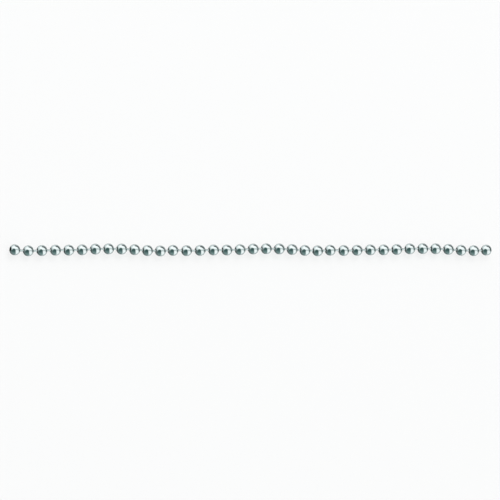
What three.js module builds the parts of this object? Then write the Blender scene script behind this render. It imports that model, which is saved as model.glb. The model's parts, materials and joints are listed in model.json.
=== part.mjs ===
// A length of metal bead chain, as used to work a roller blind: hollow balls on dumbbell links.
//
// Each bead is a thin spherical shell with a round hole at either pole. A short wire with a round
// head on each end passes through the facing holes of two beads, and the heads, being wider than
// the holes, hold the beads together while letting each one tilt. The chain lies along X on a flat
// surface at Z = 0, a little wavy and not quite pulled taut.
//
// A bead carries the link on its left, whose near head is pressed into the bead's own left hole.
// The link's free head sits inside the bead before it. The first bead has no link.

import * as THREE from "three";

// Sizes of the bead and of the link, in millimetres.
const BEAD_DIAMETER = 4.5;
const BEAD_WALL = 0.3;
const BEAD_GAP = 1.5; // between neighbouring beads when the chain is pulled taut
const WIRE_DIAMETER = 0.8;
const HOLE_CLEARANCE = 0.42; // from the wire to the edge of its hole, all round
const HEAD_OVERHANG = 0.16; // by which a head is wider than its hole, all round
const HEAD_FACE = 0.4; // from the middle of a head to its blunt end
const HEAD_BITE = 0.06; // by which the fixed head is pressed into its hole

// How the chain lies. Its waves come in runs of twelve beads, and a run starts near taut.
const BEAD_COUNT = 37;
const FIRST_SLACK = 0.06;
const SLACK_STEP = 0.035; // by which each link of a run is slacker than the one before
const END_BEAD_HEADING = -10; // degrees, from X towards Y
const RUN_HEADINGS = [3.5, -2.5, 2, 1.5, -0.5, 2, 3, 0.5, -1, -3, -4, -1]; // degrees, one a link
const SWING_MARGIN = 4; // degrees, left between a link's swing and the edge of its hole

// Fineness of the solids.
const SIDES = 12; // round the chain's axis
const SHELL_BANDS = 5; // along a bead, an odd number so that it lies on a flat

const beadRadius = BEAD_DIAMETER / 2;
const cavityRadius = beadRadius - BEAD_WALL;
const wireRadius = WIRE_DIAMETER / 2;
const holeRadius = wireRadius + HOLE_CLEARANCE;
const headRadius = holeRadius + HEAD_OVERHANG;
const tautPitch = BEAD_DIAMETER + BEAD_GAP;

// How far along its axis from its centre a ball is as wide as `width`.
const reach = (radius, width) => Math.sqrt(radius ** 2 - width ** 2);

const outerRim = reach(beadRadius, holeRadius);
const innerRim = reach(cavityRadius, holeRadius);
const headRim = reach(headRadius, holeRadius);
const headNeck = reach(headRadius, wireRadius);

// The middle of a head that rests on the inner rim of a hole. A link swings about this point.
const seat = innerRim - headRim;
const freeHead = tautPitch - seat;
const fixedHead = seat + HEAD_BITE;

// An outline's point, `x` along the chain's axis and `radius` away from it.
const point = (x, radius) => new THREE.Vector2(radius, x);

// A ball's outline between the rims of its two holes, in chords that touch the ball.
function shellOutline() {
  const start = Math.acos(-outerRim / beadRadius);
  const end = Math.acos(outerRim / beadRadius);
  const cornerRadius = beadRadius / Math.cos((start - end) / SHELL_BANDS / 2);
  const corners = Array.from({ length: SHELL_BANDS - 1 }, (_, i) => {
    const angle = THREE.MathUtils.lerp(start, end, (i + 1) / SHELL_BANDS);
    return point(cornerRadius * Math.cos(angle), cornerRadius * Math.sin(angle));
  });
  return [point(-outerRim, holeRadius), ...corners, point(outerRim, holeRadius)];
}

// The free head, round where it rests on the hole's rim and blunt behind, and the wire from it to
// the left hole of the bead that carries it.
function linkOutline() {
  return [
    point(-freeHead - HEAD_FACE, 0),
    point(-freeHead, headRadius),
    point(-freeHead + headRim, holeRadius),
    point(-freeHead + headNeck, wireRadius),
    point(-innerRim, wireRadius),
  ];
}

// The inside of a bead whose left hole is filled by the fixed head, from the right hole.
function closedCavityOutline() {
  const meeting = (cavityRadius ** 2 - headRadius ** 2 + fixedHead ** 2) / (2 * fixedHead);
  return [
    point(innerRim, holeRadius),
    point(0, cavityRadius),
    point(-meeting, reach(cavityRadius, meeting)),
    point(-fixedHead + HEAD_FACE, 0),
  ];
}

// The inside of a bead that is open at both ends, from the right hole and back to the start.
function openCavityOutline() {
  return [
    point(innerRim, holeRadius),
    point(0, cavityRadius),
    point(-innerRim, holeRadius),
    point(-outerRim, holeRadius),
  ];
}

// Turns an outline about X. The flats, and not the corners, lie at the outline's radius, and one
// of them is at the bottom.
function revolve(outline) {
  const geometry = new THREE.LatheGeometry(outline, SIDES, Math.PI / SIDES);
  const acrossCorners = 1 / Math.cos(Math.PI / SIDES);
  return geometry.scale(acrossCorners, 1, acrossCorners).rotateZ(-Math.PI / 2);
}

const endBeadGeometry = () => revolve([...shellOutline(), ...openCavityOutline()]);

const linkedBeadGeometry = () =>
  revolve([...linkOutline(), ...shellOutline(), ...closedCavityOutline()]);

const nickelPlate = () =>
  new THREE.MeshStandardMaterial({ color: 0xc4cac9, roughness: 0.16, metalness: 1 });

function namedBead(index, geometry) {
  const bead = new THREE.Mesh(geometry, nickelPlate());
  bead.name = `bead_${String(index + 1).padStart(2, "0")}`;
  return bead;
}

// How a link lies: its direction from X, and how far it is from taut.
const placeInRun = (index) => index % RUN_HEADINGS.length;
const heading = (index) => (index === 0 ? END_BEAD_HEADING : RUN_HEADINGS[placeInRun(index)]);
const slack = (index) => FIRST_SLACK + SLACK_STEP * placeInRun(index - 1);

// The tilt at which a link's wire meets the outer edge of its hole, in degrees.
function fullTilt() {
  const edge = outerRim - seat;
  const tilt = Math.acos(wireRadius / Math.hypot(holeRadius, edge)) - Math.atan2(edge, holeRadius);
  return THREE.MathUtils.radToDeg(tilt);
}

// Links swing sideways and up in turn, as the arms of a universal joint do. The signs are set so
// that a chain with every link swung the same way waves about its line and doesn't curl up.
const SIDEWAYS = new THREE.Vector3(0, 0, 1);
const UPWARDS = new THREE.Vector3(0, -1, 0);
const PAIR_SIGNS = [1, -1, -1, 1];

// The line a link swings about, and how far it can swing each way from where it lies, in degrees.
function swingOf(index, bend) {
  const sign = PAIR_SIGNS[Math.floor((index - 1) / 2) % PAIR_SIGNS.length];
  const axis = (index % 2 === 1 ? SIDEWAYS : UPWARDS).clone().multiplyScalar(sign);
  const limit = fullTilt() - SWING_MARGIN;
  const lies = bend * axis.z;
  return { axis, range: [-limit - lies, limit - lies] };
}

// Hangs a bead by its link on the bead before it. The hinge group is at the free head's seat.
function hang(bead, index, parent) {
  const bend = heading(index) - heading(index - 1);
  const hinge = new THREE.Group();
  hinge.position.x = seat;
  hinge.rotation.z = THREE.MathUtils.degToRad(bend);
  hinge.userData = swingOf(index, bend);
  bead.position.x = tautPitch - slack(index) - seat;
  hinge.add(bead);
  parent.add(hinge);
}

function buildChain() {
  const first = namedBead(0, endBeadGeometry());
  first.rotation.z = THREE.MathUtils.degToRad(heading(0));
  const geometry = linkedBeadGeometry();
  let last = first;
  for (let index = 1; index < BEAD_COUNT; index += 1) {
    const bead = namedBead(index, geometry);
    hang(bead, index, last);
    last = bead;
  }
  return first;
}

// Puts the origin under the middle of the chain, on the surface that it lies on.
function centred(object) {
  const group = new THREE.Group();
  group.add(object);
  group.updateMatrixWorld(true);
  const box = new THREE.Box3().setFromObject(group, true);
  const middle = box.getCenter(new THREE.Vector3());
  object.position.sub(new THREE.Vector3(middle.x, middle.y, box.min.z));
  return group;
}

export default centred(buildChain());
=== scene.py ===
# A length of roller blind chain on a pale table: plated balls on dumbbell links, in soft studio light.
import json
import math
import random

import bmesh
import bpy
from mathutils import Matrix, Vector

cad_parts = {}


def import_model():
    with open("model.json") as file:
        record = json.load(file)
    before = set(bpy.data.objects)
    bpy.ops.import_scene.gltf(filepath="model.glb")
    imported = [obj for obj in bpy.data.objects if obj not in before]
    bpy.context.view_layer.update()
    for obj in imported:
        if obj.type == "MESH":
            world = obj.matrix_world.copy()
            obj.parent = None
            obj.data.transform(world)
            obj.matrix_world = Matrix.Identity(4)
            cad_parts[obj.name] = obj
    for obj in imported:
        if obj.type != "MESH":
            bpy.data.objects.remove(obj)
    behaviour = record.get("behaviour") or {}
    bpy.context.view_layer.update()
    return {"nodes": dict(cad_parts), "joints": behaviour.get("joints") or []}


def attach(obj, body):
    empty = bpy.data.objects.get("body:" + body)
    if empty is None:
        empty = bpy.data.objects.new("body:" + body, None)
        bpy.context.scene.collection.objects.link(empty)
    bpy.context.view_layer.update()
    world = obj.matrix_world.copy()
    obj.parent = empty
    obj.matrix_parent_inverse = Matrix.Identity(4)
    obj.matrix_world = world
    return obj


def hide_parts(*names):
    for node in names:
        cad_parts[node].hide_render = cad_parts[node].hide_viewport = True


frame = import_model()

MM = 0.001

# The ball and the link, in millimetres, as the solids have them.
BALL_RADIUS = 2.25
WALL = 0.3
HOLE_RADIUS = 0.82
HOLE_EDGE_ROUND = 0.11
WIRE_RADIUS = 0.4
HEAD_RADIUS = 0.98
HEAD_FACE = 0.4
HEAD_EDGE_ROUND = 0.16
HEAD_TAPER = 0.05  # by which a head is slimmer at its blunt end
NECK_ROUND = 0.16
TAUT_PITCH = 6.0

# Where a head's edge ends, and where its round side starts and ends, in degrees from X.
HEAD_EDGE_END = 110
HEAD_SIDE = (96, 38)

# The line where a ball's rolled strip closes, from hole to hole. Its section gives places across
# it, in halves of its width, and the share of its depth that is reached there.
SEAM_WIDTH = 0.05
SEAM_DEPTH = 0.035
SEAM_SECTION = ((-1.6, 0), (-1, 0.15), (0, 1), (1, 0.15), (1.6, 0))
SEAM_TURNS = (200, 300)  # degrees about a ball's axis, on the underside
SEED = 7  # of the balls' and links' turns about their axes

# The end ball is loose: its open hole faces up a little, and it has slid in along its link.
END_BALL_TILT = math.radians(6)
END_BALL_SLIDE = 0.07

# What a vertex is marked with: a hole's edge or the seam, what is inside a ball, and a link.
MARKS = ("rim", "inside", "wire")
RIM, INSIDE = 0, 1

# Fineness of the meshes.
BALL_SEGMENTS = 72
BALL_BANDS = 44
EDGE_BANDS = 5
LINK_SEGMENTS = 32
LINK_BANDS = 12

# How closely the corners of a solid's flat agree, in metres and in decimal places of a metre.
SAME_HEIGHT = 1e-6
SAME_PLACE_DIGITS = 7

# The photograph's frame.
IMAGE_SIZE = 500
FIRST_BALL_PX = (16.0, 250.35)
LAST_BALL_PX = (487.6, 249.55)
CAMERA_TILT = math.radians(19)  # from straight above, towards the chain's open end
LENS = 1000
SENSOR = 36

RIGHT = Vector((math.cos(CAMERA_TILT), 0, math.sin(CAMERA_TILT)))
UP = Vector((0, 1, 0))
AWAY = Vector((-math.sin(CAMERA_TILT), 0, math.cos(CAMERA_TILT)))  # from the chain to the camera

# The plating.
PLATE_COLOUR = (0.755, 0.82, 0.82, 1)
PLATE_COLOUR_CLOUDED = (0.69, 0.765, 0.765, 1)
WIRE_COLOUR = (0.57, 0.65, 0.65, 1)
WORN_COLOUR = (0.15, 0.16, 0.15, 1)
# painted shade: the inside of each ball, and the links' heads seated there, are coloured nearly black
# where shade falls
INSIDE_PAINTED_SHADE = (0.10, 0.10, 0.10, 1)
EDGE_TINT = (0.4, 0.4, 0.4, 1)  # of the plating where it is seen at a glancing angle
WIRE_SHARE = 0.9  # of its own colour in the wire
WORN_SHARE = 0.8  # of the worn colour where the plating is worn through
WORN_FROM_SCUFFS = (0.2, 0.45)
ROUGH_FROM_SCUFFS = (0.45, 0.75)
PLATE_ROUGHNESS = 0.09
SCUFF_ROUGHNESS = 0.10  # this and the next three are added to the plating's own
WIRE_ROUGHNESS = 0.12
WORN_ROUGHNESS = 0.15
INSIDE_ROUGHNESS = 0.4

# Its unevenness: how many to a millimetre and how deep, in millimetres.
CLOUDS_PER_MM = 0.5
RIPPLES_PER_MM = 0.45
RIPPLE_DEPTH = 0.09
SCUFFS_PER_MM = 6
SCUFF_DEPTH = 0.0015
PITS_PER_MM = 30
PIT_DEPTH = 0.0004

# The stage, in metres and watts.
FLOOR_SIZE = 6
FLOOR_COLOUR = (0.70, 0.73, 0.73, 1)
FLOOR_SHEEN = 0.85
FLOOR_ROUGHNESS = 0.15
FLOOR_WHITE = 0.05  # the share of plain white in the floor, as metal mirrors it
VEIL_COLOUR = (0.9, 0.9, 0.9, 1)
VEIL_CLEAR = 0.82  # the share of the white backdrop that the camera sees through the floor
WHITE = (1, 1, 1, 1)
KEY_LIGHT = {"direction": (0.15, 0.7, 0.8), "distance": 1.5, "width": 0.8, "height": 0.5, "power": 9}

# The tent round the stage and the dark room outside it.
TENT_COLOUR = (1.15, 1.17, 1.17, 1)
GLOW_COLOUR = (1.3, 1.3, 1.3, 1)
DIM_COLOUR = (0.20, 0.30, 0.29, 1)
ROOM_COLOUR = (0.06, 0.115, 0.11, 1)
HORIZON_COLOUR = (0.02, 0.03, 0.03, 1)

# Where the tent's parts are mirrored on a ball, in its radii to the right of and above its
# middle. Each pair says where a part starts and where it is full.
OPENING_ACROSS = (0.26, 0.12)
OPENING_UPWARD = (0.10, -0.08)
OPENING_HUB = (-0.13, -0.06, 0)  # a place, and the next pair is of distances from it
OPENING_FROM_HUB = (0.36, 0.24)
ROOM_UPWARD = (-0.7, -0.1)
SLIT_FROM_BELOW = (-0.14, -0.04)
SLIT_FROM_ABOVE = (0.2, 0.1)
SLIT_SHARE = 0.5
GLOW_ACROSS = (0.5, 0.1)
GLOW_UPWARD = (0.2, 0.4)
SHADE_ACROSS = (-0.1, -0.45)
SHADE_UPWARD = (0.55, 0.2)
SHADE_SHARE = 0.35

# The dark strip along the horizon: how high it reaches, which way it lies and how it fades in,
# as cosines.
HORIZON_HEIGHT = (0.38, 0.27)
HORIZON_WAY = (0.82, 0.57, 0)
HORIZON_FADE = (0.42, 0.75)


# Geometry

def reach(radius, width):
    """How far along its axis from its centre a ball is as wide as width."""
    return math.sqrt(radius ** 2 - width ** 2)


INNER_RADIUS = BALL_RADIUS - WALL
SEAT = reach(INNER_RADIUS, HOLE_RADIUS) - reach(HEAD_RADIUS, HOLE_RADIUS)
FREE_HEAD = TAUT_PITCH - SEAT


def arc(centre, radius, start, end, steps):
    """Points (x, r) on a circle about centre, from one angle to another in degrees, both included."""
    angles = [math.radians(start + (end - start) * i / steps) for i in range(steps + 1)]
    return [(centre[0] + radius * math.cos(a), centre[1] + radius * math.sin(a)) for a in angles]


def hole_edge(side):
    """A hole's rounded outer and inner edges, from the outer surface inwards, on the right or left."""
    radius = HOLE_EDGE_ROUND
    outer_r = HOLE_RADIUS + radius
    outer_x = reach(BALL_RADIUS - radius, outer_r)
    outer_turn = math.degrees(math.atan2(outer_r, outer_x))
    inner_x = reach(INNER_RADIUS + radius, outer_r)
    inner_turn = math.degrees(math.atan2(outer_r, inner_x)) + 180
    outer = arc((outer_x, outer_r), radius, outer_turn, -90, EDGE_BANDS)
    inner = arc((inner_x, outer_r), radius, 270, inner_turn, EDGE_BANDS)
    return [(side * x, r) for x, r in outer + inner]


def marked(points, rim=0, inside=0, wire=0):
    return [(x, r, rim, inside, wire) for x, r in points]


def ball_profile():
    """The closed outline of a ball's shell, once round: outside, right hole, inside, left hole."""
    right = hole_edge(1)
    left = hole_edge(-1)
    turn = math.degrees(math.atan2(right[0][1], right[0][0]))
    inner_turn = math.degrees(math.atan2(right[-1][1], right[-1][0]))
    outside = arc((0, 0), BALL_RADIUS, 180 - turn, turn, BALL_BANDS)
    inside = arc((0, 0), INNER_RADIUS, inner_turn, 180 - inner_turn, BALL_BANDS // 2)
    half = len(right) // 2
    return (
        marked(outside[1:-1])
        + marked(right[:half], rim=1)
        + marked(right[half:], rim=1, inside=1)
        + marked(inside[1:-1], inside=1)
        + marked(left[:half - 1:-1], rim=1, inside=1)
        + marked(left[half - 1::-1], rim=1)
    )


def head_outline(middle):
    """A link's head on the left, from its blunt end on the axis to the wire's start, with its marks."""
    radius = HEAD_EDGE_ROUND
    face = middle - HEAD_FACE
    edge = (face + radius, HEAD_RADIUS - radius - HEAD_TAPER)
    blunt = [(face, 0)] + arc(edge, radius, 180, HEAD_EDGE_END, EDGE_BANDS)
    dome = arc((middle, 0), HEAD_RADIUS, *HEAD_SIDE, LINK_BANDS)
    neck_r = WIRE_RADIUS + NECK_ROUND
    neck_x = middle + reach(HEAD_RADIUS + NECK_ROUND, neck_r)
    turn = math.degrees(math.atan2(neck_r, neck_x - middle)) + 180
    neck = arc((neck_x, neck_r), NECK_ROUND, turn, 270, EDGE_BANDS)
    half = len(neck) // 2
    # the blunt end, dome and start of the neck are marked as inside, so they take the painted shade of
    # the balls' insides
    return marked(blunt + dome + neck[:half], inside=1, wire=1) + marked(neck[half:], wire=1)


def link_profile():
    """A link's outline, tip to tip, with its fixed head at the seat in its own ball."""
    left = head_outline(-FREE_HEAD)
    right = [(-FREE_HEAD - SEAT - x, *rest) for x, *rest in left]
    return left + right[::-1]


def ring_angles(segments, seam):
    """Angles round the axis and a groove's depth at each, with close ones across a seam at zero."""
    angles = [2 * math.pi * i / segments for i in range(segments)]
    if not seam:
        return [(a, 0) for a in angles]
    half = SEAM_WIDTH / 2 / BALL_RADIUS
    near = [(place * half, depth) for place, depth in SEAM_SECTION]
    return near + [(a, 0) for a in angles[1:]]


def revolved(name, profile, segments, closed, seam=False):
    """A mesh turned about X from points (x, r, *marks) in millimetres.

    A point with r = 0 is a single vertex. The marks are written as attributes, in MARKS' order.
    """
    mesh = bmesh.new()
    layers = [mesh.verts.layers.float.new(mark) for mark in MARKS]
    angles = ring_angles(segments, seam)
    rings = []
    for x, r, *marks in profile:
        ring = []
        for angle, depth in angles if r else [(0, 0)]:
            shrink = 1 - SEAM_DEPTH * depth * (1 - marks[INSIDE]) / BALL_RADIUS
            vertex = mesh.verts.new((
                x * shrink * MM,
                r * shrink * math.cos(angle) * MM,
                r * shrink * math.sin(angle) * MM,
            ))
            for layer, mark in zip(layers, marks):
                vertex[layer] = mark
            vertex[layers[RIM]] = max(marks[RIM], depth)
            ring.append(vertex)
        rings.append(ring)
    pairs = list(zip(rings, rings[1:] + rings[:1])) if closed else list(zip(rings, rings[1:]))
    for first, second in pairs:
        count = max(len(first), len(second))
        for i in range(count):
            j = (i + 1) % count
            corners = [first[i % len(first)], first[j % len(first)],
                       second[j % len(second)], second[i % len(second)]]
            mesh.faces.new(list(dict.fromkeys(corners)))
    bmesh.ops.recalc_face_normals(mesh, faces=mesh.faces)
    data = bpy.data.meshes.new(name)
    mesh.to_mesh(data)
    mesh.free()
    data.shade_smooth()
    return data


def add(name, data, material):
    item = bpy.data.objects.new(name, data)
    bpy.context.scene.collection.objects.link(item)
    item.data.materials.append(material)
    return item


# Nodes

def add_node(tree, kind, inputs=(), **settings):
    """A node with its settings, and its inputs given in order as values or as other nodes' outputs."""
    made = tree.nodes.new(kind)
    for key, value in settings.items():
        setattr(made, key, value)
    for socket, value in zip(made.inputs, inputs):
        if isinstance(value, bpy.types.NodeSocket):
            tree.links.new(value, socket)
        elif value is not None:
            socket.default_value = value
    return made


def maths(tree, operation, *inputs):
    return add_node(tree, "ShaderNodeMath", inputs, operation=operation).outputs[0]


def dot(tree, vector, direction):
    made = add_node(tree, "ShaderNodeVectorMath", (vector, tuple(direction)), operation="DOT_PRODUCT")
    return made.outputs["Value"]


def ramp(tree, value, start, end):
    """Zero below start and one above end, or the other way round if end is the smaller."""
    low, high, flip = (start, end, False) if start < end else (end, start, True)
    ends = (1, 0) if flip else (0, 1)
    made = add_node(tree, "ShaderNodeMapRange", interpolation_type="SMOOTHSTEP")
    for name, number in zip(("From Min", "From Max", "To Min", "To Max"), (low, high, *ends)):
        made.inputs[name].default_value = number
    tree.links.new(value, made.inputs["Value"])
    return made.outputs["Result"]


def blend_colours(tree, factor, first, second):
    made = add_node(tree, "ShaderNodeMix", data_type="RGBA")
    for socket, value in zip(("Factor", "A", "B"), (factor, first, second)):
        target = next(i for i in made.inputs if i.name == socket and i.enabled)
        if isinstance(value, bpy.types.NodeSocket):
            tree.links.new(value, target)
        else:
            target.default_value = value
    return next(o for o in made.outputs if o.enabled)


# Material

def mark(tree, name):
    return add_node(tree, "ShaderNodeAttribute", attribute_name=name).outputs["Fac"]


def noise(tree, coordinates, per_mm, detail=2, roughness=0.5):
    made = add_node(tree, "ShaderNodeTexNoise")
    made.inputs["Scale"].default_value = per_mm / MM
    made.inputs["Detail"].default_value = detail
    made.inputs["Roughness"].default_value = roughness
    tree.links.new(coordinates, made.inputs["Vector"])
    return made.outputs[0]


def bump(tree, height, depth, below=None):
    """A bump as deep as depth, in millimetres, on top of another if one is given."""
    made = add_node(tree, "ShaderNodeBump")
    made.inputs["Distance"].default_value = depth * MM
    tree.links.new(height, made.inputs["Height"])
    if below:
        tree.links.new(below, made.inputs["Normal"])
    return made.outputs[0]


def nickel_plate():
    """Bright nickel over pressed steel, a little rippled and scuffed, and dull inside the balls, where
    painted shade makes it nearly black.

    The plating is thin and burnt at the holes' edges and along the seam, and greyer on the wire.
    """
    material = bpy.data.materials.new("nickel_plate")
    material.use_nodes = True
    tree = material.node_tree
    shader = tree.nodes["Principled BSDF"]
    place_on_part = add_node(tree, "ShaderNodeTexCoord").outputs["Object"]
    clouds = noise(tree, place_on_part, CLOUDS_PER_MM, detail=3)
    scuffs = noise(tree, place_on_part, SCUFFS_PER_MM, detail=6, roughness=0.7)
    pits = noise(tree, place_on_part, PITS_PER_MM, detail=2)
    ripple = noise(tree, place_on_part, RIPPLES_PER_MM, detail=1)
    rim, inside, wire = (mark(tree, name) for name in MARKS)
    worn = maths(tree, "MULTIPLY", rim, ramp(tree, scuffs, *WORN_FROM_SCUFFS))

    colour = blend_colours(tree, clouds, PLATE_COLOUR, PLATE_COLOUR_CLOUDED)
    colour = blend_colours(tree, maths(tree, "MULTIPLY", wire, WIRE_SHARE), colour, WIRE_COLOUR)
    colour = blend_colours(tree, maths(tree, "MULTIPLY", worn, WORN_SHARE), colour, WORN_COLOUR)
    # painted shade: whatever lies inside a ball, the links' heads included, is coloured nearly black
    colour = blend_colours(tree, inside, colour, INSIDE_PAINTED_SHADE)
    tree.links.new(colour, shader.inputs["Base Color"])

    scuffed = ramp(tree, scuffs, *ROUGH_FROM_SCUFFS)
    roughness = maths(tree, "MULTIPLY_ADD", scuffed, SCUFF_ROUGHNESS, PLATE_ROUGHNESS)
    roughness = maths(tree, "MULTIPLY_ADD", wire, WIRE_ROUGHNESS, roughness)
    roughness = maths(tree, "MULTIPLY_ADD", worn, WORN_ROUGHNESS, roughness)
    roughness = maths(tree, "MULTIPLY_ADD", inside, INSIDE_ROUGHNESS, roughness)
    tree.links.new(roughness, shader.inputs["Roughness"])
    shader.inputs["Metallic"].default_value = 1
    shader.inputs["Specular Tint"].default_value = EDGE_TINT

    surface = bump(tree, ripple, RIPPLE_DEPTH)
    surface = bump(tree, scuffs, SCUFF_DEPTH, below=surface)
    surface = bump(tree, pits, PIT_DEPTH, below=surface)
    tree.links.new(surface, shader.inputs["Normal"])
    return material


# The chain

def bead_names():
    return sorted(frame["nodes"])


def ball_centre(name):
    """The middle of a ball, from the flat on top of its solid."""
    points = [v.co for v in frame["nodes"][name].data.vertices]
    top = max(p.z for p in points)
    corners = [p for p in points if p.z > top - SAME_HEIGHT]
    flat = {tuple(round(c, SAME_PLACE_DIGITS) for c in p) for p in corners}
    middle = sum((Vector(p) for p in flat), Vector()) / len(flat)
    return Vector((middle.x, middle.y, top - BALL_RADIUS * MM))


def placements():
    """Each bead's name with its centre and the direction of its axis."""
    pivots = {joint["child"]: Vector(joint["pos_m"]) for joint in frame["joints"]}
    names = bead_names()
    found = []
    for name in names:
        centre = ball_centre(name)
        if name in pivots:
            axis = (centre - pivots[name]).normalized()
        else:
            axis = (pivots[names[1]] - centre).normalized()
            centre += axis * END_BALL_SLIDE * MM
            axis.rotate(Matrix.Rotation(END_BALL_TILT, 3, "Y"))
        found.append((name, centre, axis))
    return found


def placed(data, centre, axis, roll):
    """A copy of a mesh made along X, at a bead's centre and turned about its axis by roll."""
    turn = Vector((1, 0, 0)).rotation_difference(axis).to_matrix().to_4x4()
    copy = data.copy()
    copy.transform(Matrix.Translation(centre) @ turn @ Matrix.Rotation(roll, 4, "X"))
    return copy


def build_chain():
    dice = random.Random(SEED)
    material = nickel_plate()
    ball_data = revolved("ball", ball_profile(), BALL_SEGMENTS, closed=True, seam=True)
    link_data = revolved("link", link_profile(), LINK_SEGMENTS, closed=False)
    for name, centre, axis in placements():
        seam = math.radians(dice.uniform(*SEAM_TURNS))
        ball = add(name.replace("bead", "ball"), placed(ball_data, centre, axis, seam), material)
        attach(ball, name)
        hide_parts(name)
        if name == bead_names()[0]:
            continue
        roll = dice.uniform(0, math.tau)
        link = add(name.replace("bead", "link"), placed(link_data, centre, axis, roll), material)
        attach(link, name)


# Stage

def floor():
    """A pale satin table. The camera sees it as a thin veil of paper over the white backdrop.

    The veil keeps a soft shadow, and what swings below the table shows through it.
    """
    mesh = bpy.data.meshes.new("floor")
    half = FLOOR_SIZE / 2
    corners = [(-half, -half, 0), (half, -half, 0), (half, half, 0), (-half, half, 0)]
    mesh.from_pydata(corners, [], [(0, 1, 2, 3)])
    material = bpy.data.materials.new("floor")
    material.use_nodes = True
    tree = material.node_tree
    shader = tree.nodes["Principled BSDF"]
    shader.inputs["Base Color"].default_value = FLOOR_COLOUR
    shader.inputs["Metallic"].default_value = FLOOR_SHEEN
    shader.inputs["Roughness"].default_value = FLOOR_ROUGHNESS
    path = add_node(tree, "ShaderNodeLightPath")
    white = add_node(tree, "ShaderNodeEmission", (WHITE, 1)).outputs[0]
    mirrored = maths(tree, "MULTIPLY", path.outputs["Is Glossy Ray"], FLOOR_WHITE)
    table = add_node(tree, "ShaderNodeMixShader", (mirrored, shader.outputs[0], white)).outputs[0]
    paper = add_node(tree, "ShaderNodeBsdfDiffuse", (VEIL_COLOUR,)).outputs[0]
    clear = add_node(tree, "ShaderNodeBsdfTransparent").outputs[0]
    veil = add_node(tree, "ShaderNodeMixShader", (VEIL_CLEAR, paper, clear)).outputs[0]
    seen = maths(tree, "MAXIMUM", path.outputs["Is Camera Ray"], path.outputs["Is Transmission Ray"])
    surface = add_node(tree, "ShaderNodeMixShader", (seen, table, veil)).outputs[0]
    tree.links.new(surface, tree.nodes["Material Output"].inputs["Surface"])
    add("floor", mesh, material)


def softbox(name, direction, distance, width, height, power):
    data = bpy.data.lights.new(name, "AREA")
    data.shape = "RECTANGLE"
    data.size = width
    data.size_y = height
    data.energy = power
    item = bpy.data.objects.new(name, data)
    bpy.context.scene.collection.objects.link(item)
    away = Vector(direction).normalized()
    item.location = away * distance
    item.rotation_mode = "QUATERNION"
    item.rotation_quaternion = (-away).to_track_quat("-Z", "Y")
    item.visible_camera = False
    item.visible_glossy = False


def world():
    """A white tent that lights the chain, open on one side and low down to a dark room."""
    made = bpy.data.worlds.new("world")
    bpy.context.scene.world = made
    made.use_nodes = True
    tree = made.node_tree
    background = tree.nodes["Background"]
    direction = add_node(tree, "ShaderNodeTexCoord").outputs["Generated"]
    # Halfway between a direction and the camera's: where on a ball the camera sees it mirrored.
    middle = add_node(tree, "ShaderNodeVectorMath", (direction, tuple(AWAY)), operation="ADD").outputs[0]
    mirror = add_node(tree, "ShaderNodeVectorMath", (middle,), operation="NORMALIZE").outputs[0]
    across, upward = dot(tree, mirror, RIGHT), dot(tree, mirror, UP)

    def corner(across_edges, upward_edges):
        """One past both edges, and zero before either."""
        edges = ramp(tree, across, *across_edges), ramp(tree, upward, *upward_edges)
        return maths(tree, "MULTIPLY", *edges)

    place = add_node(tree, "ShaderNodeCombineXYZ", (across, upward)).outputs[0]
    from_hub = add_node(tree, "ShaderNodeVectorMath", (place, OPENING_HUB), operation="DISTANCE")
    hub = ramp(tree, from_hub.outputs["Value"], *OPENING_FROM_HUB)
    opening = maths(tree, "MAXIMUM", corner(OPENING_ACROSS, OPENING_UPWARD), hub)
    room = blend_colours(tree, ramp(tree, upward, *ROOM_UPWARD), DIM_COLOUR, ROOM_COLOUR)
    edges = ramp(tree, upward, *SLIT_FROM_BELOW), ramp(tree, upward, *SLIT_FROM_ABOVE)
    slit = maths(tree, "MULTIPLY", *edges)
    shade = corner(SHADE_ACROSS, SHADE_UPWARD)
    tent = blend_colours(tree, corner(GLOW_ACROSS, GLOW_UPWARD), TENT_COLOUR, GLOW_COLOUR)
    tent = blend_colours(tree, maths(tree, "MULTIPLY", slit, SLIT_SHARE), tent, DIM_COLOUR)
    tent = blend_colours(tree, maths(tree, "MULTIPLY", shade, SHADE_SHARE), tent, DIM_COLOUR)
    tent = blend_colours(tree, opening, tent, room)
    low = ramp(tree, dot(tree, direction, (0, 0, 1)), *HORIZON_HEIGHT)
    side = ramp(tree, dot(tree, direction, HORIZON_WAY), *HORIZON_FADE)
    tent = blend_colours(tree, maths(tree, "MULTIPLY", low, side), tent, HORIZON_COLOUR)
    path = add_node(tree, "ShaderNodeLightPath")
    seen = maths(tree, "MAXIMUM", path.outputs["Is Camera Ray"], path.outputs["Is Transmission Ray"])
    shown = blend_colours(tree, seen, tent, WHITE)
    tree.links.new(shown, background.inputs["Color"])
    background.inputs["Strength"].default_value = 1


def camera(first, last):
    """A long lens above the chain, tilted so that the left holes show, framed by the end balls."""
    span = (last - first).dot(RIGHT)
    scale = (LAST_BALL_PX[0] - FIRST_BALL_PX[0]) / span
    middle_px = [(a + b) / 2 for a, b in zip(FIRST_BALL_PX, LAST_BALL_PX)]
    aim = (first + last) / 2
    aim += RIGHT * (IMAGE_SIZE / 2 - middle_px[0]) / scale
    aim -= UP * (IMAGE_SIZE / 2 - middle_px[1]) / scale
    data = bpy.data.cameras.new("camera")
    data.lens = LENS
    data.sensor_width = SENSOR
    distance = IMAGE_SIZE / scale * LENS / SENSOR
    item = bpy.data.objects.new("camera", data)
    bpy.context.scene.collection.objects.link(item)
    turn = Matrix((RIGHT, UP, AWAY)).transposed().to_4x4()
    item.matrix_world = Matrix.Translation(aim + AWAY * distance) @ turn
    bpy.context.scene.camera = item


bpy.context.scene.view_settings.view_transform = "Standard"
build_chain()
camera(ball_centre(bead_names()[0]), ball_centre(bead_names()[-1]))
floor()
softbox("key", **KEY_LIGHT)
world()
